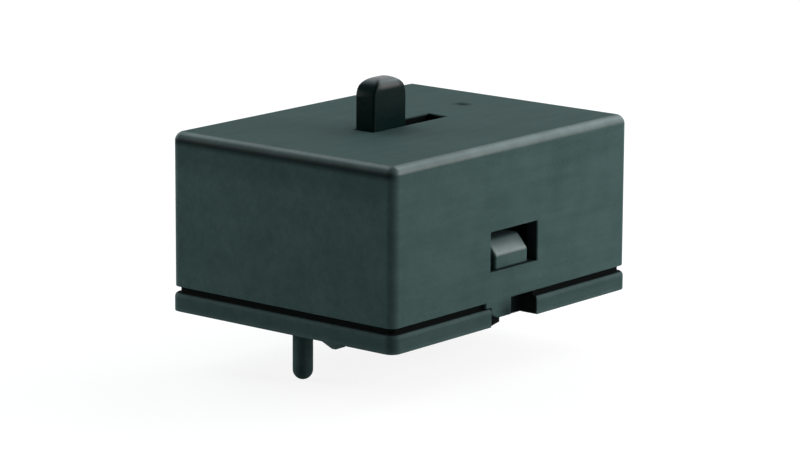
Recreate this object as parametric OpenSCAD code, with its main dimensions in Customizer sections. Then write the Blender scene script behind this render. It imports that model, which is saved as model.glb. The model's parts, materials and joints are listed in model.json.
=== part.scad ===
// Double-pole slide switch with a push-fit cover, see-saw contacts and push-in wire clamps.
// The origin is at the centre of the base's underside. The knob slides along X.

/* [Cover] */
// Length of the cover, along the knob's travel
cover_l = 35; // [33:0.5:42]
// Width of the cover
cover_w = 26.8; // [25.8:0.2:34]
// Height of the cover above the seam
cover_h = 14.7; // [14.4:0.1:18]
// Thickness of the cover's side walls
wall = 1.3; // [0.9:0.1:1.6]
// Thickness of the cover's roof
roof = 1.3; // [0.8:0.1:1.5]
// Radius of the cover's upper edges and upright corners
edge_r = 0.9; // [0.4:0.1:1.2]
// Width of each hook window
window_w = 7; // [5.8:0.2:9]
// Height of each hook window
window_h = 3.8; // [3.2:0.1:5]
// Height of the window's lower edge above the underside of the base
window_z = 5.15; // [4.8:0.05:5.6]

/* [Base] */
// Thickness of the base plate
plate_t = 1.78; // [1.3:0.01:2.4]
// How far the base plate stands proud of the cover on each side
plate_proud = 0.1; // [0:0.05:0.5]
// Radius of the base plate's upright corners
plate_r = 1; // [0.4:0.1:2]
// Height of the groove between base plate and cover
seam_h = 0.57; // [0.3:0.01:1]
// Depth of the groove between base plate and cover
seam_d = 0.45; // [0.2:0.05:0.7]
// Thickness of the locating rim inside the cover
rim_t = 1.1; // [0.7:0.1:1.4]
// Height of the locating rim above the cover's lower edge
rim_h = 2; // [1:0.1:2.4]
// Thickness of the inner walls of the base
rib_t = 0.8; // [0.6:0.05:0.9]
// Height of the terminal chambers above the underside of the base
chamber_z = 12; // [11.6:0.1:12.8]

/* [Hooks] */
// Width of each snap arm
arm_w = 4.8; // [3.6:0.1:6]
// Thickness of each snap arm
arm_t = 1.2; // [0.8:0.05:1.3]
// Gap between a snap arm and the inside of the cover
arm_gap = 0.6; // [0.3:0.05:0.8]
// How far the hook's face lies behind the cover's face
hook_sunk = 0.3; // [0.1:0.05:0.6]
// Height of the hook's upright face
hook_face_h = 1.35; // [1:0.05:1.6]
// Height of the hook's lead-in slope
hook_slope_h = 1.3; // [0.8:0.1:1.4]
// Depth of the hook's lead-in slope
hook_slope_d = 1.15; // [0.8:0.05:1.3]
// Width of the notch in the base plate below each hook
notch_w = 6.8; // [5.6:0.1:9]

/* [Key tab] */
// Width of the key tab's flush face
key_w = 2.9; // [2:0.1:3.1]
// Width of the key tab's bevelled side
key_bevel = 1.2; // [0.6:0.1:2]
// Gap between the key tab's edge and the notch
key_gap = 0.1; // [0.05:0.05:0.3]
// Height of the key tab's lower edge above the underside of the base
key_z = 0.7; // [0.2:0.05:1.2]
// Length of the lead-in toe at the key tab's corner
key_toe = 1.3; // [0.6:0.1:2]
// Height of the lead-in toe
key_toe_h = 0.55; // [0.1:0.05:0.6]
// Angle of the bevel under the toe
key_toe_bevel = 45; // [30:5:60]
// Width of the shoulder that fills the seam beside the key tab
key_shoulder = 0.7; // [0.2:0.1:1.5]

/* [Underside] */
// Diameter of the locating pin
pin_d = 1.9; // [1.4:0.1:3]
// Length of the locating pin below the base
pin_l = 5; // [3:0.1:8]
// Distance of the locating pin from the middle of the base
pin_x = 14.3; // [12:0.1:15.5]
// Height of the stand-off pip below the base
pip_h = 0.5; // [0.2:0.05:1]
// Width of the stand-off pip, with its slope
pip_w = 2; // [1.2:0.1:3]
// Width of the stand-off pip's steep side
pip_steep = 0.35; // [0.2:0.05:0.5]
// Width of the stand-off pip's flat
pip_flat = 0.45; // [0.2:0.05:0.6]
// Depth of the stand-off pip, from the edge inwards
pip_t = 1.4; // [0.8:0.1:2]
// Distance of the stand-off pip from the middle of the base
pip_y = 6.1; // [4.5:0.1:9]
// Diameter of each wire port
port_d = 2.6; // [1.8:0.1:3]
// Width of the lead-in cone round each wire port
port_lead = 0.5; // [0.2:0.1:0.8]

/* [Slider] */
// Length of the knob, along its travel
knob_l = 4.7; // [3.9:0.1:6]
// Width of the knob
knob_w = 2.3; // [2.1:0.05:3]
// Height of the knob above the cover
knob_h = 4.8; // [3:0.1:8]
// Radius of the knob's upper corners, seen from the side
knob_r = 1.8; // [0.4:0.1:1.9]
// Radius of the knob's upper edges, seen from its end
knob_crown = 0.95; // [0.2:0.05:1]
// Travel of the slider
travel = 6; // [4.5:0.25:6.5]
// How far the knob and its slot lie off the middle of the switch, along the travel
knob_off = -0.25; // [-0.5:0.05:0.5]
// Length of the slider's carriage plate
carriage_l = 12; // [10:0.5:13]
// Thickness of the slider's carriage plate
carriage_t = 1.1; // [0.8:0.1:1.2]
// Length of the keel under the carriage
keel_l = 10; // [7:0.5:11]
// Depth of the keel under the carriage
keel_h = 2.6; // [1.5:0.1:3]
// Width of the keel under the carriage
keel_w = 4.2; // [3:0.1:4.2]
// Outer diameter of each plunger socket
socket_d = 4.2; // [3.8:0.1:4.6]
// Height of the socket's mouth above the underside of the base
socket_z = 10.6; // [10.4:0.1:11.2]
// Thickness of the carriage above each socket's bore
socket_roof = 0.5; // [0.3:0.05:0.8]
// Thickness of the dust shutter
shutter_t = 0.35; // [0.2:0.05:0.45]
// Width of the dust shutter
shutter_w = 6; // [4.5:0.5:10]
// How far the dust shutter overlaps the end of the slot
shutter_lap = 0.6; // [0.3:0.1:1.5]

/* [Plungers] */
// Diameter of each plunger
plunger_d = 2.4; // [2:0.1:2.6]
// Height of each plunger's top end above the underside of the base
plunger_top = 12.9; // [12.6:0.1:13.4]
// Bore inside each plunger
plunger_bore = 1.7; // [1.6:0.1:1.8]
// Outer diameter of each plunger spring
spring_d = 1.5; // [1.2:0.05:1.5]
// Wire diameter of each plunger spring
spring_wire = 0.24; // [0.15:0.01:0.28]
// Turns in each plunger spring
spring_turns = 7; // [4:1:9]

/* [Contacts] */
// Height of the rocker's pivot above the underside of the base
pivot_z = 8; // [7.8:0.1:8.2]
// Angle that a rocker tips to each side of level
tilt = 6; // [4:0.5:7]
// Thickness of a rocker
rocker_t = 0.9; // [0.7:0.05:1]
// Length of a rocker's contact arm
rocker_l = 8; // [7.8:0.1:8.4]
// Length of a rocker's idle arm
rocker_back = 6; // [5.4:0.1:7]
// How far the rocker's dish runs past the plunger's travel
dish_run = 0.4; // [0.2:0.1:0.6]
// Width of the stop under a rocker's idle arm
stop_w = 1; // [0.6:0.1:1.4]
// Distance of the contacts from the pivot
contact_x = 6.5; // [6:0.1:6.6]
// Diameter of the contact rivets' heads
contact_d = 2.6; // [2:0.1:2.8]
// Thickness of a moving contact's head
contact_t = 0.5; // [0.3:0.05:0.7]
// Height of a fixed contact's domed head
dome_h = 0.6; // [0.4:0.05:0.9]
// Radius of a fixed contact's dome
dome_r = 4; // [3:0.5:8]
// Diameter of the contact rivets' shanks
shank_d = 1.4; // [1:0.1:1.6]
// Height of the peened end of a moving contact's shank
rivet_h = 0.25; // [0.15:0.05:0.4]
// How far the peened end spreads on each side of the shank
rivet_w = 0.25; // [0.1:0.05:0.4]
// Thickness of the terminals
strip_t = 0.8; // [0.6:0.05:0.9]
// Width of the terminals
strip_w = 3.8; // [3.2:0.1:3.9]
// Height of a terminal's upright leg above the underside of the base
leg_z = 9; // [7:0.1:10.5]
// Width between the walls of a pole's lane
lane_w = 5.2; // [5:0.1:5.4]
// Distance of each pole from the middle of the switch
pole_y = 5.8; // [5.8:0.1:6]

/* [Clamp springs] */
// Thickness of a clamp spring
leaf_t = 0.3; // [0.2:0.05:0.35]
// Width of a clamp spring
leaf_w = 3.4; // [2.6:0.1:3.8]
// Radius of a clamp spring's bend
leaf_bend = 1.1; // [0.9:0.05:1.2]
// Height of a clamp spring's bend above the underside of the base
leaf_z = 9.4; // [9:0.1:10.4]
// Height of a clamp spring's tip above the underside of the base
leaf_tip_z = 5.3; // [4.6:0.1:6.4]

/* [Fits] */
// Running clearance on each side of the knob in its slot
slot_fit = 0.05; // [0.05:0.01:0.2]
// Clearance beyond the knob at each end of its travel
slot_end_fit = 0.2; // [0.1:0.05:0.4]
// Clearance between the rim and the cover
rim_fit = 0.05; // [0.02:0.01:0.15]
// Running clearance above and below the slider
slide_fit = 0.1; // [0.05:0.01:0.15]
// Clearance on each side of the keel
keel_fit = 0.1; // [0.05:0.01:0.2]
// Running clearance round a plunger, and between its tip and the rocker
plunger_fit = 0.05; // [0.03:0.01:0.08]
// Running clearance round the fulcrum
fulcrum_fit = 0.05; // [0.02:0.01:0.08]
// Gap between contacts that are closed, and under a rocker on its stop
touch_gap = 0.03; // [0.01:0.01:0.1]
// Clearance on each side of a rocker in its lane
rocker_fit = 0.2; // [0.1:0.05:0.3]
// Clearance between the key tab's shoulder and the base plate
shoulder_fit = 0.03; // [0.01:0.01:0.1]
// Clearance round a contact rivet's shank
rivet_fit = 0.01; // [0.01:0.01:0.05]
// Gap between a clamp spring's tip and the terminal's leg
leaf_fit = 0.2; // [0.1:0.05:0.4]
// Clearance round pieces that are dropped into place
drop_fit = 0.05; // [0.02:0.01:0.1]

/* [Hidden] */
$fn = 64;
// Steps across half a rocker's dish, round a spring's wire and along one turn of it
dish_steps = 16;
wire_sides = 8;
turn_steps = 18;
// Overlap that lets a cut run clear of a face
cut = 1;
// Heights from the underside upwards
seam_z = plate_t + seam_h;
cover_top = seam_z + cover_h;
roof_z = cover_top - roof;
shutter_z = roof_z - slide_fit - shutter_t;
carriage_z = shutter_z - carriage_t;
rail_z = carriage_z - slide_fit;
keel_z = carriage_z - keel_h;
bore_z = shutter_z - socket_roof;
// Half sizes of the cover, its inside and the base plate
cover_x = cover_l / 2;
cover_y = cover_w / 2;
inner_x = cover_x - wall;
inner_y = cover_y - wall;
plate_x = cover_x + plate_proud;
plate_y = cover_y + plate_proud;
// Lanes and chambers
lane_in = pole_y - lane_w / 2;
lane_out = pole_y + lane_w / 2;
groove_in = pole_y - strip_w / 2 - drop_fit;
groove_out = pole_y + strip_w / 2 + drop_fit;
well_y = keel_w / 2 + keel_fit;
chamber_end = inner_x - rim_fit - rim_t;
well_x = keel_l / 2 + travel / 2 + drop_fit;
gate_x = rocker_l + 2 * drop_fit + strip_t + drop_fit;
floor_z = seam_z + strip_t;
port_x = chamber_end - drop_fit - strip_t - port_d / 2;
// Snap arm
arm_y = inner_y - arm_gap;
hook_y = cover_y - hook_sunk;
hook_z = window_z + drop_fit;
hook_top = hook_z + hook_face_h + hook_slope_h;
// Slider
home_x = -travel / 2;
slot_l = knob_l + travel + 2 * slot_end_fit;
slot_w = knob_w + 2 * slot_fit;
shutter_l = slot_l + travel + 2 * shutter_lap;
carriage_w = 2 * lane_out - 2 * slide_fit;
// Rocker: its dish keeps the plunger at one height while slider and rocker move together
dish_k = tilt * PI / 180 / travel;
dish_x = travel / 2 + dish_run;
wing_h = dish_k * pow(dish_x, 2);
fulcrum_r = strip_t / 2;
tip_z = pivot_z + rocker_t + plunger_fit;
stop_z = pivot_z + wing_h * cos(tilt) - rocker_back * sin(tilt) - touch_gap;
face_h = wing_h - contact_t;
closed_x = contact_x * cos(tilt) + face_h * sin(tilt);
closed_z = pivot_z + face_h * cos(tilt) - contact_x * sin(tilt);
dome_top = closed_z - touch_gap - dome_r * (1 / cos(tilt) - 1);
bridge_z = dome_top - dome_h - strip_t;
// Clamp spring: its leaf runs from the tip to where it touches the bend
leaf_x = gate_x + rib_t + drop_fit + leaf_t / 2;
bend_x = leaf_x + leaf_bend;
leaf_tip_x = chamber_end - drop_fit - strip_t - leaf_fit - leaf_t / 2;
leaf_run = leaf_tip_x - bend_x;
leaf_drop = leaf_z - leaf_tip_z;
leaf_l = sqrt(pow(leaf_run, 2) + pow(leaf_drop, 2) - pow(leaf_bend, 2));
leaf_slope = atan2(leaf_l, leaf_bend) - atan2(leaf_drop, leaf_run);

// Points along an arc from angle a to angle b
function arc(x, y, r, a, b, n = 12) = [
    for (i = [0:n]) let (t = a + (b - a) * i / n) [x + r * cos(t), y + r * sin(t)]
];

// Box between two corners
module block(low, high) {
    translate(low) cube(high - low);
}

// Box that is centred on X and Y between two heights
module slab(x, y, low, high) {
    translate([-x / 2, -y / 2, low]) cube([x, y, high - low]);
}

// Flat plate with round corners
module round_plate(x, y, r, low, high) {
    slab(x - 2 * r, y, low, high);
    slab(x, y - 2 * r, low, high);
    for (i = [-1, 1], j = [-1, 1])
        translate([i * (x / 2 - r), j * (y / 2 - r), low]) cylinder(h = high - low, r = r);
}

// Block with round upright corners and round upper edges
module round_block(x, y, r, low, high) {
    round_plate(x, y, r, low, high - r);
    slab(x - 2 * r, y - 2 * r, low, high);
    for (i = [-1, 1]) {
        translate([-x / 2 + r, i * (y / 2 - r), high - r]) rotate([0, 90, 0]) cylinder(h = x - 2 * r, r = r);
        translate([i * (x / 2 - r), y / 2 - r, high - r]) rotate([90, 0, 0]) cylinder(h = y - 2 * r, r = r);
        for (j = [-1, 1])
            translate([i * (x / 2 - r), j * (y / 2 - r), high - r]) sphere(r = r);
    }
}

// Outline in the XZ plane, extruded along Y about a pole
module side_profile(y, w) {
    translate([0, y + w / 2, 0]) rotate([90, 0, 0]) linear_extrude(height = w) children();
}

// Pole a lies on the latch side, pole b on the other
module at_pole(pole) {
    if (pole == "a") mirror([0, 1, 0]) children();
    else children();
}

module cover() {
    color("#3d4a48") {
        difference() {
            round_block(cover_l, cover_w, edge_r, seam_z, cover_top);
            slab(2 * inner_x, 2 * inner_y, seam_z - cut, roof_z);
            translate([knob_off, 0, 0]) slab(slot_l, slot_w, roof_z - cut, cover_top + cut);
            slab(window_w, cover_w + 2 * cut, window_z, window_z + window_h);
        }
        key_tab();
    }
}

// Tab that drops from the cover into the notch on one side only, with a bevelled toe
module key_tab() {
    left = -notch_w / 2 + key_gap;
    right = left + key_w;
    outline = [[left, -cover_y], [right, -cover_y], [right + key_bevel, -inner_y], [left, -inner_y]];
    end = left + key_toe;
    toe = [[left, window_z], [left, key_z - key_toe_h], [end, key_z], [end, window_z]];
    difference() {
        union() {
            translate([0, 0, key_z]) linear_extrude(height = window_z - key_z) polygon(outline);
            side_profile(-cover_y + wall / 2, wall) polygon(toe);
        }
        translate([left, -cover_y, key_z + key_toe_h])
            rotate([0, atan(key_toe_h / key_toe), 0]) rotate([-key_toe_bevel, 0, 0])
                slab(2 * cover_l, 2 * cover_l, -cover_l, 0);
    }
    block([left - key_gap - key_shoulder, -cover_y, plate_t + shoulder_fit],
        [right, -cover_y + seam_d, window_z]);
}

module base() {
    color("#3b4846") {
        difference() {
            union() {
                round_plate(2 * plate_x, 2 * plate_y, plate_r, 0, plate_t);
                round_plate(cover_l - 2 * seam_d, cover_w - 2 * seam_d, plate_r - seam_d, 0, seam_z);
                rim();
                inner_walls();
            }
            for (j = [-1, 1])
                notch(j);
            for (i = [-1, 1], j = [-1, 1])
                translate([i * port_x, j * pole_y, 0]) wire_port();
        }
        for (j = [-1, 1])
            mirror([0, j == -1 ? 1 : 0, 0]) snap_arm();
        locating_pin();
        standoff_pip();
    }
}

// Low wall that locates the cover from inside, open at the snap arms
module rim() {
    x = inner_x - rim_fit;
    y = inner_y - rim_fit;
    difference() {
        slab(2 * x, 2 * y, plate_t, seam_z + rim_h);
        slab(2 * (x - rim_t), 2 * (y - rim_t), seam_z, seam_z + rim_h + cut);
        slab(notch_w, cover_w, seam_z, seam_z + rim_h + cut);
    }
}

// Walls of the lanes and chambers, the keel's well, the rocker stops and the contact rests
module inner_walls() {
    for (j = [0, 1]) mirror([0, j, 0]) {
        difference() {
            block([-chamber_end - rib_t, well_y, 0], [chamber_end + rib_t, lane_out + rib_t, chamber_z]);
            block([-gate_x, lane_in, seam_z], [gate_x, lane_out, chamber_z + cut]);
            for (i = [-1, 1]) scale([i, 1, 1])
                block([gate_x + rib_t, lane_in, seam_z], [chamber_end, lane_out, chamber_z + cut]);
            block([-chamber_end, groove_in, seam_z], [chamber_end, groove_out, floor_z + drop_fit]);
        }
        block([-gate_x, well_y, 0], [gate_x, lane_in, rail_z]);
        for (k = [0, 1])
            translate([0, 2 * pole_y * k, 0]) mirror([0, k, 0])
                block([-rocker_back, lane_in, 0], [stop_w - rocker_back, groove_in, stop_z]);
        block([closed_x - contact_d / 2, lane_in, 0], [rocker_l, lane_out, bridge_z]);
    }
    for (i = [0, 1]) mirror([i, 0, 0])
        block([well_x, -well_y, 0], [well_x + rib_t, well_y, rail_z]);
}

// Gap in the base plate below a hook
module notch(side) {
    slot_y = (arm_y + plate_y + cut) / 2;
    translate([0, side * slot_y, 0]) slab(notch_w, plate_y + cut - arm_y, -cut, seam_z + cut);
}

module wire_port() {
    translate([0, 0, -cut]) cylinder(h = seam_z + 2 * cut, d = port_d);
    translate([0, 0, -cut]) cylinder(h = port_lead + cut, d1 = port_d + 2 * (port_lead + cut), d2 = port_d);
}

// Springy arm with a hook that looks out of the cover's window
module snap_arm() {
    hook = [[hook_y, hook_z], [hook_y, hook_z + hook_face_h], [hook_y - hook_slope_d, hook_top]];
    arm = concat([[arm_y - arm_t, 0], [arm_y, 0], [arm_y, hook_z]], hook, [[arm_y - arm_t, hook_top]]);
    rotate([90, 0, 90]) translate([0, 0, -arm_w / 2]) linear_extrude(height = arm_w) polygon(arm);
}

module locating_pin() {
    translate([-pin_x, 0, -pin_l + pin_d / 2]) cylinder(h = pin_l, d = pin_d);
    translate([-pin_x, 0, -pin_l + pin_d / 2]) sphere(d = pin_d);
}

// Small moulded foot on the edge below the knob's end, with one sloping side
module standoff_pip() {
    foot = [[pip_steep, -pip_h], [pip_steep + pip_flat, -pip_h]];
    translate([-plate_x, -pip_y - pip_w / 2, 0]) rotate([90, 0, 90]) linear_extrude(height = pip_t)
        polygon(concat([[0, plate_t], [0, 0]], foot, [[pip_w, 0], [pip_w, plate_t]]));
}

module slider() {
    color("#101f1d") translate([home_x, 0, 0]) difference() {
        union() {
            translate([knob_off, 0, 0]) knob();
            slab(carriage_l, carriage_w, carriage_z, shutter_z);
            slab(keel_l, keel_w, keel_z, shutter_z);
            for (j = [-1, 1])
                translate([0, j * pole_y, socket_z]) cylinder(h = shutter_z - socket_z, d = socket_d);
        }
        for (j = [-1, 1])
            translate([0, j * pole_y, socket_z - cut])
                cylinder(h = bore_z - socket_z + cut, d = plunger_d + 2 * plunger_fit);
    }
}

// Knob and stem: a side outline crossed with an end outline, so that all upper edges are round
module knob() {
    top = cover_top + knob_h;
    intersection() {
        side_profile(0, knob_w) crowned(knob_l, carriage_z, top, knob_r);
        rotate([90, 0, 90]) translate([0, 0, -knob_l / 2]) linear_extrude(height = knob_l)
            crowned(knob_w, carriage_z, top, knob_crown);
    }
}

// Upright outline with round upper corners
module crowned(w, low, high, r) {
    ends = concat(arc(w / 2 - r, high - r, r, 0, 90), arc(r - w / 2, high - r, r, 90, 180));
    polygon(concat([[-w / 2, low], [w / 2, low]], ends));
}

module dust_shutter() {
    color("#1c1d1f") translate([home_x + knob_off, 0, 0]) difference() {
        slab(shutter_l, shutter_w, shutter_z, shutter_z + shutter_t);
        slab(knob_l + 2 * drop_fit, knob_w + 2 * drop_fit, shutter_z - cut, shutter_z + shutter_t + cut);
    }
}

module plunger(pole) {
    nose_z = tip_z + plunger_d / 2;
    color("#d8d4c8") at_pole(pole) translate([home_x, pole_y, 0]) difference() {
        union() {
            translate([0, 0, nose_z]) sphere(d = plunger_d);
            translate([0, 0, nose_z]) cylinder(h = plunger_top - nose_z, d = plunger_d);
        }
        translate([0, 0, socket_z]) cylinder(h = plunger_top - socket_z + cut, d = plunger_bore);
    }
}

// Closed coil along Z, swept as one tube
module coil(d, wire, low, high, turns) {
    sides = wire_sides;
    steps = turn_steps * turns;
    r = (d - wire) / 2;
    rise = high - low - wire;
    rings = [for (i = [0:steps]) let (a = 360 * turns * i / steps) [for (k = [0:sides - 1])
        let (b = 360 * k / sides, q = r + wire / 2 * cos(b))
        [q * cos(a), q * sin(a), low + wire / 2 + rise * i / steps + wire / 2 * sin(b)]]];
    points = [for (ring = rings) for (p = ring) p];
    sleeve = [for (i = [0:steps - 1], k = [0:sides - 1]) let (m = (k + 1) % sides)
        [i * sides + k, (i + 1) * sides + k, (i + 1) * sides + m, i * sides + m]];
    ends = [[for (k = [0:sides - 1]) k], [for (k = [sides - 1:-1:0]) steps * sides + k]];
    polyhedron(points, concat(sleeve, ends));
}

module plunger_spring(pole) {
    color("#b9bcbe") at_pole(pole) translate([home_x, pole_y, 0])
        coil(spring_d, spring_wire, socket_z + drop_fit, bore_z - drop_fit, spring_turns);
}

// See-saw strip with a dished middle and a groove over the fulcrum
module rocker(pole) {
    dish = [for (i = [-dish_steps:dish_steps]) let (x = dish_x * i / dish_steps) [x, dish_k * pow(x, 2)]];
    under = concat([[-rocker_back, wing_h]], dish, [[rocker_l, wing_h]]);
    top = [for (i = [len(under) - 1:-1:0]) [under[i][0], under[i][1] + rocker_t]];
    color("#b87a4b") at_pole(pole) translate([0, pole_y, pivot_z]) rotate([0, -tilt, 0]) difference() {
        side_profile(0, lane_w - 2 * rocker_fit) polygon(concat(under, top));
        rotate([90, 0, 0]) cylinder(h = lane_w + 2 * cut, r = fulcrum_r + fulcrum_fit, center = true);
        translate([contact_x, 0, wing_h - cut]) cylinder(h = rocker_t + 2 * cut, d = shank_d);
    }
}

module moving_contact(pole) {
    color("#d9dadb") at_pole(pole) translate([0, pole_y, pivot_z]) rotate([0, -tilt, 0]) {
        translate([contact_x, 0, face_h]) cylinder(h = contact_t, d = contact_d);
        translate([contact_x, 0, face_h]) rivet_shank(contact_t + rocker_t + rivet_h / 2);
        translate([contact_x, 0, wing_h + rocker_t])
            cylinder(h = rivet_h, d1 = shank_d + 2 * rivet_w, d2 = shank_d);
    }
}

module rivet_shank(h) {
    cylinder(h = h, d = shank_d - 2 * rivet_fit);
}

// Floor strip with a wire hole and an upright leg, shared by both terminals
module terminal_foot(from) {
    end = chamber_end - drop_fit;
    difference() {
        block([from, -strip_w / 2, seam_z], [end, strip_w / 2, floor_z]);
        translate([port_x, 0, 0]) cylinder(h = floor_z + cut, d = port_d + 2 * drop_fit);
    }
    block([end - strip_t, -strip_w / 2, seam_z], [end, strip_w / 2, leg_z]);
}

module common_terminal(pole) {
    color("#c9a24a") at_pole(pole) translate([0, pole_y, 0]) mirror([1, 0, 0]) {
        terminal_foot(-fulcrum_r);
        block([-fulcrum_r, -strip_w / 2, seam_z], [fulcrum_r, strip_w / 2, pivot_z]);
        translate([0, 0, pivot_z]) rotate([90, 0, 0]) cylinder(h = strip_w, r = fulcrum_r, center = true);
    }
}

module fixed_terminal(pole) {
    riser = rocker_l + drop_fit;
    corner = [riser + strip_t, strip_w / 2, bridge_z + strip_t];
    color("#c9a24a") at_pole(pole) translate([0, pole_y, 0]) {
        terminal_foot(riser);
        block([riser, -strip_w / 2, seam_z], corner);
        difference() {
            block([closed_x - contact_d / 2, -strip_w / 2, bridge_z], corner);
            translate([closed_x, 0, bridge_z - cut]) cylinder(h = strip_t + 2 * cut, d = shank_d);
        }
    }
}

module fixed_contact(pole) {
    color("#d9dadb") at_pole(pole) translate([closed_x, pole_y, 0]) {
        translate([0, 0, bridge_z]) rivet_shank(strip_t + dome_h / 2);
        intersection() {
            translate([0, 0, dome_top - dome_h]) cylinder(h = dome_h, d = contact_d);
            translate([0, 0, dome_top - dome_r]) sphere(r = dome_r);
        }
    }
}

// Hairpin leaf that presses a pushed-in wire against the terminal's leg
module clamp_spring(pole, end) {
    low = floor_z + drop_fit;
    side = [leaf_t / 2 * cos(leaf_slope), leaf_t / 2 * sin(leaf_slope)];
    tip = [leaf_tip_x, leaf_tip_z];
    outer = arc(bend_x, leaf_z, leaf_bend + leaf_t / 2, leaf_slope, 180);
    inner = arc(bend_x, leaf_z, leaf_bend - leaf_t / 2, 180, leaf_slope);
    foot = [[leaf_x - leaf_t / 2, low], [leaf_x + leaf_t / 2, low]];
    color("#c4c7c9") at_pole(pole) mirror([end == "common" ? 1 : 0, 0, 0])
        side_profile(pole_y, leaf_w) polygon(concat([tip + side], outer, foot, inner, [tip - side]));
}

cover();
base();
slider();
dust_shutter();
plunger("a");  // plunger_a
plunger("b");  // plunger_b
plunger_spring("a");  // plunger_spring_a
plunger_spring("b");  // plunger_spring_b
rocker("a");  // rocker_a
rocker("b");  // rocker_b
moving_contact("a");  // moving_contact_a
moving_contact("b");  // moving_contact_b
common_terminal("a");  // common_terminal_a
common_terminal("b");  // common_terminal_b
fixed_terminal("a");  // fixed_terminal_a
fixed_terminal("b");  // fixed_terminal_b
fixed_contact("a");  // fixed_contact_a
fixed_contact("b");  // fixed_contact_b
clamp_spring("a", "common");  // clamp_spring_common_a
clamp_spring("b", "common");  // clamp_spring_common_b
clamp_spring("a", "fixed");  // clamp_spring_fixed_a
clamp_spring("b", "fixed");  // clamp_spring_fixed_b
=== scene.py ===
import json
import math

import bmesh
import bpy
from mathutils import Matrix, Vector


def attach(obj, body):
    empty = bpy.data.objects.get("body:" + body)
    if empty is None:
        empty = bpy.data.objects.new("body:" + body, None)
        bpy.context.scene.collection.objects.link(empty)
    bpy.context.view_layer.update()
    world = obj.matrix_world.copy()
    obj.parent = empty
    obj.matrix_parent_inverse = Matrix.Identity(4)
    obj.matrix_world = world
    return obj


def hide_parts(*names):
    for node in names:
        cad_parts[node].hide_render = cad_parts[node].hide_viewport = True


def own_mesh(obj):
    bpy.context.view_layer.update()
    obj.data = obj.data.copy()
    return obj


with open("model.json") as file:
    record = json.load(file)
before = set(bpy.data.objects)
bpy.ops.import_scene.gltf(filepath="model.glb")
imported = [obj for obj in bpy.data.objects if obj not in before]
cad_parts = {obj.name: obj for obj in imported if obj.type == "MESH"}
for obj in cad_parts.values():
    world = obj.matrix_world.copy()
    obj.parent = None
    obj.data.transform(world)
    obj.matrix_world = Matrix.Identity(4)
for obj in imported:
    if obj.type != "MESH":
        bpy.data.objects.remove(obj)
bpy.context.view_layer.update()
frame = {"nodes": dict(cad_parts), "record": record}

MM = 0.001

# Sizes of the switch in millimetres, as in the part's source
COVER_L, COVER_W, COVER_TOP = 35.0, 26.8, 17.05
SEAM_Z = 2.35
PLATE_L, PLATE_W, PLATE_T = 35.2, 27.0, 1.78
HOME_X, KNOB_X = -3.0, -3.25
KNOB_L, KNOB_W, KNOB_H = 4.7, 2.3, 4.8
KNOB_TOP = COVER_TOP + KNOB_H
KNOB_END_R, KNOB_CROWN_R = 1.8, 0.95
SHUTTER_Z, STEM_Z = 15.3, 16.1
POLE_Y = 5.8
SPRING_LOW, SPRING_HIGH = 10.65, 14.75
SPRING_D, WIRE_D, SPRING_TURNS = 1.5, 0.24, 7
HOOK_OUT, HOOK_LOW, HOOK_HIGH, HOOK_HALF_W = 11.9, 5.1, 7.9, 2.5

# Small shapes that only this script has, in millimetres
COVER_EDGE_R, MOULDED_EDGE_R = 0.1, 0.08
RIM_R, HOOK_R, KNOB_EDGE_R = 0.4, 0.22, 0.22
GATE_X, GATE_Y = 11.1, 1.7
GATE_LOW_R, GATE_HIGH_R, GATE_DEPTH = 0.16, 0.4, 0.08
NIB_LOW_R, NIB_HIGH_R, NIB_RISE = 0.1, 0.07, 0.03
# The wedge under the key tab's toe, which is painted black as shade
TOE_FRONT, TOE_BACK = -13.25, -12.15
TOE_SIDE = ((-3.3, 1.2), (-3.3, 0.03), (-1.95, 0.28), (-1.95, 0.75))
EJECTOR_X, EJECTOR_Y, EJECTOR_R, EJECTOR_DEPTH = 6.6, 8.4, 1.1, 0.06
TOOL_OVERLAP = 0.1

# Camera: fitted to the edges of the photograph, in millimetres, degrees and pixels
VIEW_TURN, VIEW_TILT, VIEW_ROLL = -50.528, 12.266, 0.325
VIEW_DISTANCE = 350.876
VIEW_SIDE, VIEW_RISE = -0.191, 4.392
FOCAL_PX, FRAME_PX = 3706.24, 800


def make_camera():
    """The camera at the photograph's place, aimed at the middle of the seam."""
    turn, tilt, roll = map(math.radians, (VIEW_TURN, VIEW_TILT, VIEW_ROLL))
    back = Vector((math.sin(turn) * math.cos(tilt), -math.cos(turn) * math.cos(tilt), math.sin(tilt)))
    level = Vector((math.cos(turn), math.sin(turn), 0))
    upright = back.cross(level)
    right = level * math.cos(roll) + upright * math.sin(roll)
    up = upright * math.cos(roll) - level * math.sin(roll)
    eye = back * VIEW_DISTANCE + right * VIEW_SIDE + up * VIEW_RISE + Vector((0, 0, SEAM_Z))
    data = bpy.data.cameras.new("photo_camera")
    data.sensor_width = 36
    data.lens = FOCAL_PX / FRAME_PX * data.sensor_width
    data.clip_start, data.clip_end = 0.01, 20
    camera = bpy.data.objects.new("photo_camera", data)
    camera.matrix_world = Matrix.Translation(eye * MM) @ Matrix((right, up, back)).transposed().to_4x4()
    bpy.context.scene.collection.objects.link(camera)
    bpy.context.scene.camera = camera


# Shader expressions


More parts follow.
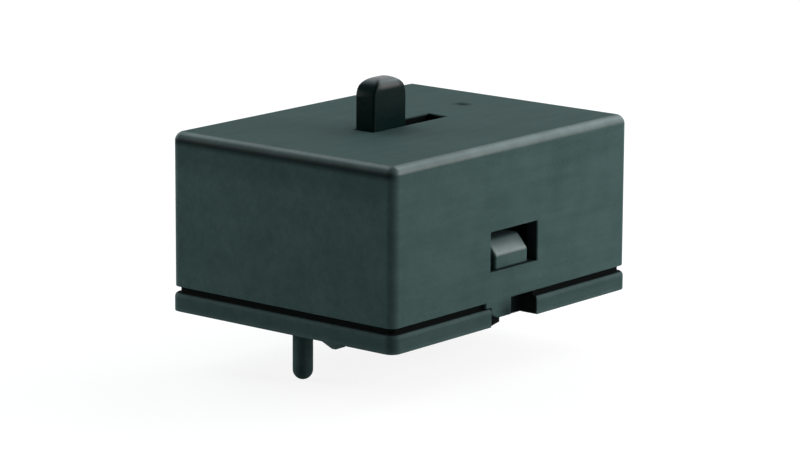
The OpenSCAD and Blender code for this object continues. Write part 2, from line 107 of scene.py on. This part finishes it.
class Value:
    """A socket of a node tree: arithmetic on it adds Math nodes, and node() adds any other node."""

    def __init__(self, tree, socket=None):
        self.tree, self.socket = tree, socket

    def node(self, kind, settings=None, inputs=None, out=0):
        made = self.tree.nodes.new("ShaderNode" + kind)
        for name, setting in (settings or {}).items():
            setattr(made, name, setting)
        for name, value in (inputs or {}).items():
            if isinstance(value, Value):
                self.tree.links.new(value.socket, made.inputs[name])
            else:
                made.inputs[name].default_value = value
        return Value(self.tree, made.outputs[out] if made.outputs else None)

    def math(self, operation, *values, clamp=False):
        return self.node("Math", {"operation": operation, "use_clamp": clamp}, dict(enumerate(values)))

    def __add__(self, other):
        return self.math("ADD", self, other)

    def __radd__(self, other):
        return self.math("ADD", other, self)

    def __sub__(self, other):
        return self.math("SUBTRACT", self, other)

    def __rsub__(self, other):
        return self.math("SUBTRACT", other, self)

    def __mul__(self, other):
        return self.math("MULTIPLY", self, other)

    def __rmul__(self, other):
        return self.math("MULTIPLY", other, self)

    def __truediv__(self, other):
        return self.math("DIVIDE", self, other)

    def clamped(self):
        return self.math("ADD", self, 0, clamp=True)

    def axes(self):
        """The three coordinates of this place, in millimetres."""
        split = self.node("SeparateXYZ", None, {"Vector": self}).socket.node.outputs
        return [Value(self.tree, part) / MM for part in split]

    def mix(self, low, high):
        """Colour low where this value is 0, and high where it is 1."""
        return self.node("Mix", {"data_type": "RGBA"}, {0: self, 6: low, 7: high}, out=2)

    def noise(self, size, detail=2.0, rough=0.5, stretch=(1, 1, 1)):
        """Noise from 0 to 1 with features of a size in millimetres, on this place."""
        scale = [k / size / MM for k in stretch]
        scaled = self.node("VectorMath", {"operation": "MULTIPLY"}, {0: self, 1: scale})
        return self.node("TexNoise", None, {"Vector": scaled, "Scale": 1.0, "Detail": detail, "Roughness": rough})


def rgb(red, green, blue):
    """A colour given as the 0 to 255 values that a screen shows."""
    def linear(level):
        level /= 255
        return level / 12.92 if level <= 0.04045 else ((level + 0.055) / 1.055) ** 2.4
    return (linear(red), linear(green), linear(blue), 1)


def new_material(name):
    """An empty material, and its node tree to build on."""
    material = bpy.data.materials.new(name)
    material.use_nodes = True
    material.node_tree.nodes.clear()
    return material, Value(material.node_tree)


def output(tree, shader):
    tree.node("OutputMaterial", None, {"Surface": shader})


def own_place(tree):
    """The place on a piece, in the piece's own coordinates."""
    return tree.node("TexCoord", None, None, out=3)


def near_edges(here, low, high, reach):
    """1 on the edges of a box with these corners, down to 0 at the reach, and little on its upright edges."""
    near = []
    for along, start, end in zip(here.axes(), low, high):
        off_middle = here.math("ABSOLUTE", along - (start + end) / 2)
        near.append(((off_middle - ((end - start) / 2 - reach)) / reach).clamped())
    x, y, z = near
    return ((x * y * 0.2 + (x + y) * z) * 1.6).clamped()


def within(here, low, high, soft):
    """1 inside a box with these corners, down to 0 on its sides over a soft width."""
    inside = 1
    for along, start, end in zip(here.axes(), low, high):
        off_middle = here.math("ABSOLUTE", along - (start + end) / 2)
        inside = (((end - start) / 2 - off_middle) / soft).clamped() * inside
    return inside


# Near-black that the shade boxes mix into a plastic's colour, most of them as painted shade
SHADE = (0.0008, 0.0016, 0.0016, 1)


def moulded_plastic(name, tones, matt, shine, grain, box=None, reach=1.2, slick=None, shades=(), coat=(0, 0, 0.35)):
    """Moulded plastic with a fine eroded grain, flow marks and mottle.

    Its tones are dark, light and worn. A coat is the shine that it has where it is rubbed, given as the weights
    along the edges of its box and inside a slick box, and a roughness. Shades are boxes, each with a soft width
    and a strength, in which it is darker and less shiny.
    """
    material, tree = new_material(name)
    here = own_place(tree)
    dark, light, worn = tones
    mottle = here.noise(2.6, 3.0)
    cloud = here.noise(9.0, 1.0)
    flow = here.noise(0.9, 2.0, 0.5, (0.1, 1, 1))
    speck = here.noise(0.32, 1.0)
    tone = (mottle * 0.35 + cloud * 0.2 + flow * 0.25 + speck * 0.2 - 0.5) * 2.6 + 0.5
    colour = tone.clamped().mix(dark, light)
    rough = matt + (mottle - 0.5) * 0.12 + (speck - 0.5) * 0.1
    edge_weight, slick_weight, coat_rough = coat
    rubbed = 0
    if box:
        rim = near_edges(here, *box, reach)
        colour = ((rim + mottle - 0.9).clamped() * 0.4).mix(colour, worn)
        rubbed = rim * edge_weight
    if slick:
        rubbed = within(here, *slick) * slick_weight + rubbed
    # Each shade box mixes SHADE in and takes shine away: most of them are painted shade
    for low, high, soft, strength in shades:
        shade = within(here, low, high, soft) * strength
        colour = shade.mix(colour, SHADE)
        rough = rough + shade * 0.4
        rubbed = (1 - shade) * rubbed
    pits = here.noise(0.16, 2.0, 0.6)
    wide = here.noise(0.45, 1.0)
    bump = tree.node("Bump", None, {"Strength": grain, "Distance": 0.02 * MM, "Height": pits * 0.7 + wide * 0.3})
    output(tree, tree.node("BsdfPrincipled", None, {
        "Base Color": colour,
        "Roughness": rough.clamped(),
        "Specular IOR Level": shine,
        "Coat Weight": rubbed * (0.7 + mottle * 0.6) if box or slick else 0,
        "Coat Roughness": coat_rough,
        "Normal": bump,
    }))
    return material


def sheet_metal(name, bright, dull, gloss, grain_along, streak):
    """Rolled or drawn metal: fine lines along the rolling direction under a cloudy tarnish."""
    material, tree = new_material(name)
    here = own_place(tree)
    lines = here.noise(0.09, 2.0, 0.6, grain_along)
    cloud = here.noise(1.6, 3.0, 0.6)
    stain = (cloud * 2.6 - 0.85).clamped()
    bump = tree.node("Bump", None, {"Strength": streak, "Distance": 0.01 * MM, "Height": lines})
    output(tree, tree.node("BsdfPrincipled", None, {
        "Base Color": (stain * 0.7 + lines * 0.3).clamped().mix(bright, dull),
        "Roughness": gloss + stain * 0.12 + (lines - 0.5) * 0.16,
        "Metallic": 1.0,
        "Normal": bump,
    }))
    return material


# Darker places of the housing, most of them painted shade: lowest and highest corner, soft width and strength. FAR is
# past every side.
FAR = 20.0
GATE_SHADE = ((GATE_X - 0.95, GATE_Y - 1.1, 16.0), (GATE_X + 0.95, GATE_Y + 1.1, 18.0), 0.9, 0.75)
# Painted shadow of the knob on the roof, to its left and in front of it
KNOB_PAINTED_SHADOW = ((-10.0, -4.4, 10.0), (0.2, 3.4, 17.3), 2.2, 0.3)
# Painted shade inside the slot, on its walls
SLOT_SHADE = ((-5.9, -1.3, 15.0), (5.4, 1.3, 16.95), 0.08, 1.0)
# Painted shade on the window's jambs, sill and head
WINDOW_SHADE = ((-3.65, -13.3, 5.05), (3.65, 13.3, 9.05), 0.12, 0.8)
# Painted shade over the key tab, darker towards its foot and the notch
TAB_SHADE = ((-2.6, -15.0, -3.0), (4.0, -12.0, 2.7), 1.5, 0.75)
# Painted shade: the wedge under the tab's toe, black
TOE_SHADE = ((-3.5, -13.34, -0.4), (-1.7, -11.9, 1.4), 0.06, 1.0)
# Painted shade on the upper part of the cover's -X end
END_SHADE = ((-FAR, -FAR, 13.2), (-16.6, FAR, 17.0), 1.4, 0.24)
# Painted shade: a dark line just under the upper edge of the cover's -X end
RIM_SHADE = ((-FAR, -FAR, 15.65), (-16.95, FAR, 16.88), 0.5, 0.78)
PLATE_SHADE = ((-FAR, -FAR, -6.0), (FAR, FAR, 1.9), 0.1, 0.16)
# Painted shade in the seam between cover and base
SEAM_SHADE = ((-FAR, -FAR, 1.7), (FAR, FAR, 2.5), 0.06, 1.0)
# Painted shade in the notch under the key tab
NOTCH_SHADE = ((-3.55, -13.45, 0.05), (3.55, 13.45, 2.6), 0.1, 0.95)

# Rubbed places: the cover's upper edges, the plate's edges, the hooks and the middle of the knob's top
COVER_BOX = ((-COVER_L / 2, -COVER_W / 2, -FAR), (COVER_L / 2, COVER_W / 2, COVER_TOP))
PLATE_BOX = ((-PLATE_L / 2, -PLATE_W / 2, 0), (PLATE_L / 2, PLATE_W / 2, PLATE_T))
HOOK_SLICK = ((-FAR, -FAR, 6.4), (FAR, FAR, 30.0), 0.3)
KNOB_SLICK = ((KNOB_X - 1.9, -3.0, KNOB_TOP - 1.1), (KNOB_X + 1.9, 3.0, KNOB_TOP + 3), 0.8)

BODY_TONES = rgb(36, 56, 54), rgb(54, 73, 71), rgb(66, 86, 86)
KNOB_TONES = rgb(0, 17, 15), rgb(4, 23, 21), rgb(8, 28, 26)
FILM_TONES = rgb(5, 8, 8), rgb(8, 11, 11), rgb(8, 11, 11)
ACETAL_TONES = rgb(214, 209, 194), rgb(226, 222, 209), rgb(226, 222, 209)

COVER_PLASTIC = moulded_plastic(
    "cover_plastic", BODY_TONES, matt=0.8, shine=0.06, grain=0.25, box=COVER_BOX, reach=0.85,
    shades=(SLOT_SHADE, WINDOW_SHADE, TAB_SHADE, TOE_SHADE, END_SHADE, RIM_SHADE, GATE_SHADE, KNOB_PAINTED_SHADOW),
    coat=(0.6, 0, 0.35),
)
BASE_PLASTIC = moulded_plastic(
    "base_plastic", BODY_TONES, matt=0.8, shine=0.06, grain=0.25, box=PLATE_BOX, reach=0.6, slick=HOOK_SLICK,
    shades=(PLATE_SHADE, SEAM_SHADE, NOTCH_SHADE), coat=(0.05, 0.8, 0.4),
)
KNOB_PLASTIC = moulded_plastic(
    "knob_plastic", KNOB_TONES, matt=0.3, shine=0.02, grain=0.08, slick=KNOB_SLICK, coat=(0, 0.5, 0.38),
)
SHUTTER_FILM = moulded_plastic("shutter_film", FILM_TONES, matt=0.6, shine=0.1, grain=0.08)
PLUNGER_PLASTIC = moulded_plastic("plunger_plastic", ACETAL_TONES, matt=0.36, shine=0.4, grain=0.06)

ALONG_X, ROUND_Z, EVERY_WAY = (0.06, 1, 1), (1, 1, 0.06), (1, 1, 1)
ROCKER_COPPER = sheet_metal("rocker_copper", rgb(214, 142, 104), rgb(150, 92, 66), 0.3, ALONG_X, 0.3)
TERMINAL_BRASS = sheet_metal("terminal_brass", rgb(222, 188, 108), rgb(168, 132, 66), 0.28, ALONG_X, 0.3)
CLAMP_STEEL = sheet_metal("clamp_steel", rgb(206, 208, 210), rgb(150, 153, 156), 0.24, ROUND_Z, 0.3)
SPRING_STEEL = sheet_metal("spring_steel", rgb(190, 192, 195), rgb(120, 122, 126), 0.26, EVERY_WAY, 0.2)
CONTACT_SILVER = sheet_metal("contact_silver", rgb(226, 225, 221), rgb(140, 137, 132), 0.3, EVERY_WAY, 0.3)


# Meshes, in millimetres until piece_from makes a piece of them


RECORD = frame["record"]
BODY_OF = {n: body for body, nodes in RECORD["behaviour"]["bodies"].items() for n in nodes}
WELD, SLIVER, FLAT = 0.0005, 0.002, math.radians(0.6)


def solid_of(node):
    """A node's mesh, welded, with the triangles of its flat faces joined."""
    mesh = bmesh.new()
    mesh.from_mesh(frame["nodes"][node].data)
    mesh.transform(Matrix.Scale(1 / MM, 4))
    bmesh.ops.remove_doubles(mesh, verts=mesh.verts, dist=WELD)
    bmesh.ops.dissolve_limit(mesh, angle_limit=FLAT, verts=mesh.verts, edges=mesh.edges)
    return mesh


def soften(mesh, radius, segments=2, below=math.inf, sharp=35, chosen=None):
    """Rounds the outer edges that are sharper than an angle, up to a height, or only the chosen ones."""
    edges = [
        e for e in mesh.edges
        if len(e.link_faces) == 2 and e.is_convex and e.calc_face_angle(0) > math.radians(sharp)
        and all(v.co.z < below for v in e.verts) and (chosen is None or chosen(e))
    ]
    bmesh.ops.bevel(
        mesh, geom=edges, offset=radius, offset_type="OFFSET", segments=segments,
        profile=0.5, affect="EDGES", clamp_overlap=False, loop_slide=True,
    )
    bmesh.ops.dissolve_degenerate(mesh, dist=SLIVER, edges=mesh.edges)


def object_of(mesh, name):
    """Makes an object of a mesh, and frees the mesh."""
    data = bpy.data.meshes.new(name)
    mesh.to_mesh(data)
    mesh.free()
    made = bpy.data.objects.new(name, data)
    bpy.context.scene.collection.objects.link(made)
    return made


def combined(mesh, tool, operation):
    """The mesh with a closed tool cut out of it or joined to it."""
    body, cutter = object_of(mesh, "blank"), object_of(tool, "cutter")
    step = body.modifiers.new("cut", "BOOLEAN")
    step.operation, step.object, step.solver = operation, cutter, "EXACT"
    result = bmesh.new()
    result.from_object(body, bpy.context.evaluated_depsgraph_get())
    for used in (body, cutter):
        data = used.data
        bpy.data.objects.remove(used)
        bpy.data.meshes.remove(data)
    return result


def round_tool(x, y, low, high, low_r, high_r, sides=40):
    """Upright cylinder or cone."""
    tool = bmesh.new()
    bmesh.ops.create_cone(
        tool, cap_ends=True, segments=sides, radius1=low_r, radius2=high_r, depth=high - low,
        matrix=Matrix.Translation((x, y, (low + high) / 2)),
    )
    return tool


def piece_from(mesh, name, node, material, corner=35):
    """Makes the piece of a mesh, and lets it stand for its CAD node."""
    mesh.transform(Matrix.Scale(MM, 4))
    bmesh.ops.recalc_face_normals(mesh, faces=mesh.faces)
    piece = object_of(mesh, name)
    piece.data.materials.append(material)
    piece.data.polygons.foreach_set("use_smooth", [True] * len(piece.data.polygons))
    piece.data.set_sharp_from_angle(angle=math.radians(corner))
    weighted = piece.modifiers.new("even_shading", "WEIGHTED_NORMAL")
    weighted.keep_sharp = True
    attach(piece, BODY_OF[node])
    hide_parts(node)
    return piece


def dressed(node, name, material, radius):
    """A node's own shape with its sharp edges rounded."""
    mesh = solid_of(node)
    soften(mesh, radius)
    return piece_from(mesh, name, node, material)


# The housing


def toe_shade_wedge():
    """The wedge under the near corner of the key tab, as a prism along y, that is painted black as shade."""
    wedge = bmesh.new()
    front, back = ([wedge.verts.new((x, y, z)) for x, z in TOE_SIDE] for y in (TOE_FRONT, TOE_BACK))
    wedge.faces.new(front)
    wedge.faces.new(back[::-1])
    for k in range(len(front)):
        m = (k + 1) % len(front)
        wedge.faces.new((front[m], front[k], back[k], back[m]))
    bmesh.ops.recalc_face_normals(wedge, faces=wedge.faces)
    return wedge


def cover_shell():
    """The cover, with a wedge painted black as shade under its key tab, and the shallow dimple and nib that the
    moulding gate leaves on top.
    """
    mesh = solid_of("cover")
    soften(mesh, COVER_EDGE_R)
    mesh = combined(mesh, toe_shade_wedge(), "UNION")
    floor_z = COVER_TOP - GATE_DEPTH
    dimple = round_tool(GATE_X, GATE_Y, floor_z, COVER_TOP + GATE_DEPTH, GATE_LOW_R, 2 * GATE_HIGH_R - GATE_LOW_R)
    mesh = combined(mesh, dimple, "DIFFERENCE")
    nib = round_tool(GATE_X, GATE_Y, floor_z - TOOL_OVERLAP, floor_z + NIB_RISE, NIB_LOW_R, NIB_HIGH_R, 24)
    mesh = combined(mesh, nib, "UNION")
    return piece_from(mesh, "cover_shell", "cover", COVER_PLASTIC)


def on_plate_rim(edge):
    """Whether an edge of the base runs round the top of its plate."""
    middle = (edge.verts[0].co + edge.verts[1].co) / 2
    if any(abs(v.co.z - PLATE_T) > 0.01 for v in edge.verts) or len(edge.link_faces) != 2:
        return False
    out = Vector((middle.x / PLATE_L, middle.y / PLATE_W, 0))
    out = Vector((out.x if abs(out.x) > 0.45 else 0, out.y if abs(out.y) > 0.45 else 0, 0)).normalized()
    return edge.is_convex and any(f.normal.dot(out) > 0.6 for f in edge.link_faces)


def on_hook(edge):
    """Whether an edge of the base belongs to one of its two hooks."""
    return all(
        abs(v.co.y) > HOOK_OUT and HOOK_LOW < v.co.z < HOOK_HIGH and abs(v.co.x) < HOOK_HALF_W for v in edge.verts
    )


def base_moulding():
    """The base, with a round upper edge on its plate and the witness rings of four ejector pins underneath."""
    mesh = solid_of("base")
    mesh.normal_update()
    soften(mesh, RIM_R, 4, chosen=on_plate_rim)
    soften(mesh, HOOK_R, 3, chosen=on_hook)
    soften(mesh, MOULDED_EDGE_R)
    for x in (-EJECTOR_X, EJECTOR_X):
        for y in (-EJECTOR_Y, EJECTOR_Y):
            mark = round_tool(x, y, -TOOL_OVERLAP, EJECTOR_DEPTH, EJECTOR_R, EJECTOR_R)
            mesh = combined(mesh, mark, "DIFFERENCE")
    return piece_from(mesh, "base_moulding", "base", BASE_PLASTIC)


# The slider and its springs


KNOB_CORNER_STEPS, KNOB_CROWN_STEPS, KNOB_FOOT_RISE = 5, 14, 0.12


def knob_ring(mesh, z):
    """One level section of the knob: a rectangle with round corners that shrinks towards the top."""
    def inset(r):
        rise = max(0.0, z - (KNOB_TOP - r))
        return r - math.sqrt(max(0.0, r * r - rise * rise))

    half_l, half_w = KNOB_L / 2 - inset(KNOB_END_R), KNOB_W / 2 - inset(KNOB_CROWN_R)
    r = min(KNOB_EDGE_R + 0.35 * inset(KNOB_CROWN_R), 0.9 * half_w, 0.9 * half_l)
    ring = []
    for quarter, (i, j) in enumerate(((1, 1), (-1, 1), (-1, -1), (1, -1))):
        for step in range(KNOB_CORNER_STEPS + 1):
            a = math.pi / 2 * (quarter + step / KNOB_CORNER_STEPS)
            x, y = i * (half_l - r) + r * math.cos(a), j * (half_w - r) + r * math.sin(a)
            ring.append(mesh.verts.new((KNOB_X + x, y, z)))
    return ring


def slider_moulding():
    """The slider, with a knob whose corners and edges run smoothly into its rounded top."""
    mesh = solid_of("slider")
    bmesh.ops.bisect_plane(
        mesh, geom=mesh.verts[:] + mesh.edges[:] + mesh.faces[:],
        plane_co=(0, 0, STEM_Z), plane_no=(0, 0, 1), clear_outer=True,
    )
    soften(mesh, MOULDED_EDGE_R, below=SHUTTER_Z + 0.01)
    turns = [math.pi / 2 * k / KNOB_CROWN_STEPS for k in range(KNOB_CROWN_STEPS + 1)]
    heights = [STEM_Z + KNOB_FOOT_RISE] + [KNOB_TOP - KNOB_END_R + KNOB_END_R * math.sin(a) for a in turns]
    rings = [knob_ring(mesh, z) for z in heights]
    for low, high in zip(rings, rings[1:]):
        for k in range(len(low)):
            m = (k + 1) % len(low)
            mesh.faces.new((low[k], low[m], high[m], high[k]))
    mesh.faces.new(rings[-1])
    open_edges = [e for e in mesh.edges if len(e.link_faces) == 1]
    bmesh.ops.bridge_loops(mesh, edges=open_edges)
    return piece_from(mesh, "slider_moulding", "slider", KNOB_PLASTIC)


WIRE_SIDES, TURN_STEPS = 12, 32


def coil_spring(pole, side):
    """A plunger's spring, with one closed turn at each end."""
    mesh = bmesh.new()
    length, wire_r, coil_r = SPRING_HIGH - SPRING_LOW, WIRE_D / 2, (SPRING_D - WIRE_D) / 2
    closed = WIRE_D * 1.02
    free = (length - WIRE_D - 2 * closed) / (SPRING_TURNS - 2)
    rings = []
    for step in range(SPRING_TURNS * TURN_STEPS + 1):
        turn = step / TURN_STEPS
        a = 2 * math.pi * turn
        run = min(turn, 1) + max(turn - (SPRING_TURNS - 1), 0)
        z = SPRING_LOW + wire_r + closed * run + free * (turn - run)
        ring = []
        for k in range(WIRE_SIDES):
            b = 2 * math.pi * k / WIRE_SIDES
            q = coil_r + wire_r * math.cos(b)
            point = (HOME_X + q * math.cos(a), side * POLE_Y + q * math.sin(a), z + wire_r * math.sin(b))
            ring.append(mesh.verts.new(point))
        rings.append(ring)
    for low, high in zip(rings, rings[1:]):
        for k in range(WIRE_SIDES):
            m = (k + 1) % WIRE_SIDES
            mesh.faces.new((low[k], high[k], high[m], low[m]))
    mesh.faces.new(rings[0])
    mesh.faces.new(rings[-1][::-1])
    spring = piece_from(mesh, f"coil_spring_{pole}", f"plunger_spring_{pole}", SPRING_STEEL)
    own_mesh(spring)


# Pieces of each pole that keep their solid's shape: node, piece, material and the radius of their edges
POLE_PIECES = (
    ("plunger", "plunger_pin", PLUNGER_PLASTIC, 0.05),
    ("rocker", "rocker_blade", ROCKER_COPPER, 0.06),
    ("moving_contact", "moving_rivet", CONTACT_SILVER, 0.06),
    ("fixed_contact", "fixed_rivet", CONTACT_SILVER, 0.05),
    ("common_terminal", "common_strip", TERMINAL_BRASS, 0.06),
    ("fixed_terminal", "fixed_strip", TERMINAL_BRASS, 0.06),
    ("clamp_spring_common", "clamp_leaf_common", CLAMP_STEEL, 0.04),
    ("clamp_spring_fixed", "clamp_leaf_fixed", CLAMP_STEEL, 0.04),
)

cover_shell()
base_moulding()
slider_moulding()
dressed("dust_shutter", "shutter_strip", SHUTTER_FILM, 0.04)
for pole, side in (("a", -1), ("b", 1)):
    coil_spring(pole, side)
    for node, name, material, radius in POLE_PIECES:
        dressed(f"{node}_{pole}", f"{name}_{pole}", material, radius)


# Studio


TABLE_Z, TABLE_R = -5.05, 6000
LAMP_AWAY, LAMP_SIZE, LAMP_AIM_Z = 0.45, 0.28, 8
PLAIN, COOL, COOLER, WARM = (1, 1, 1), (0.86, 0.95, 1.0), (0.8, 0.95, 1.0), (1.0, 0.92, 0.92)
LAMPS = (
    # name, azimuth, elevation, power, colour, metres away
    ("ridge_box", 342, 31, 1.15, COOL, LAMP_AWAY),
    ("far_box", 7, 34, 0.45, COOL, LAMP_AWAY),
    ("behind_box", 36, 36, 0.27, PLAIN, LAMP_AWAY),
    ("back_box", 81, 43, 0.9, COOLER, LAMP_AWAY),
    ("side_box", 304, 9, 3.0, WARM, 0.2),
    ("left_box", 120, 5, 2.2, PLAIN, 0.2),
)


def sees_page(tree):
    """1 for the rays that see the white page: the camera's, and those off metal or gloss and through glass."""
    camera = tree.node("LightPath")
    outputs = camera.socket.node.outputs
    gloss, glass = (Value(tree.tree, outputs[f"Is {kind} Ray"]) for kind in ("Glossy", "Transmission"))
    return (camera + gloss + glass).clamped()


def make_world():
    """A dim room that shows as a white page."""
    world = bpy.data.worlds.new("studio")
    bpy.context.scene.world = world
    world.use_nodes = True
    world.node_tree.nodes.clear()
    tree = Value(world.node_tree)
    room = tree.node("Background", None, {"Color": (0.9, 0.97, 1.0, 1), "Strength": 0.03})
    page = tree.node("Background", None, {"Color": (1, 1, 1, 1), "Strength": 1.0})
    shown = tree.node("MixShader", None, {0: sees_page(tree), 1: room, 2: page})
    tree.node("OutputWorld", None, {"Surface": shown})


def make_floor():
    """Round pale table, just below the pin's tip."""
    mesh = bmesh.new()
    bmesh.ops.create_circle(mesh, cap_ends=True, segments=96, radius=TABLE_R * MM)
    floor = object_of(mesh, "table")
    floor.location.z = TABLE_Z * MM
    material, tree = new_material("table_white")
    white = tree.node("BsdfDiffuse", None, {"Color": (0.8, 0.8, 0.8, 1)})
    shaded = tree.node("BsdfDiffuse", None, {"Color": (0.2, 0.2, 0.2, 1)})
    lift = tree.node("Emission", None, {"Color": (1, 1, 1, 1), "Strength": 0.85})
    page = tree.node("AddShader", None, {0: shaded, 1: lift})
    output(tree, tree.node("MixShader", None, {0: sees_page(tree), 1: white, 2: page}))
    floor.data.materials.append(material)


def make_lamp(name, turn, rise, power, colour, away):
    """Square softbox that faces the switch from an azimuth and an elevation in degrees.

    Its power is what it would take from the usual distance: a nearer one is as bright, with more fall-off.
    """
    data = bpy.data.lights.new(name, "AREA")
    data.shape = "SQUARE"
    data.size = LAMP_SIZE * away / LAMP_AWAY
    data.energy = power * (away / LAMP_AWAY) ** 2
    data.color = colour
    lamp = bpy.data.objects.new(name, data)
    turn, rise = math.radians(turn), math.radians(rise)
    towards = Vector((math.cos(turn) * math.cos(rise), math.sin(turn) * math.cos(rise), math.sin(rise)))
    lamp.location = towards * away + Vector((0, 0, LAMP_AIM_Z * MM))
    lamp.rotation_euler = towards.to_track_quat("Z", "Y").to_euler()
    bpy.context.scene.collection.objects.link(lamp)


bpy.context.scene.view_settings.view_transform = "Standard"
make_camera()
make_world()
make_floor()
for lamp in LAMPS:
    make_lamp(*lamp)
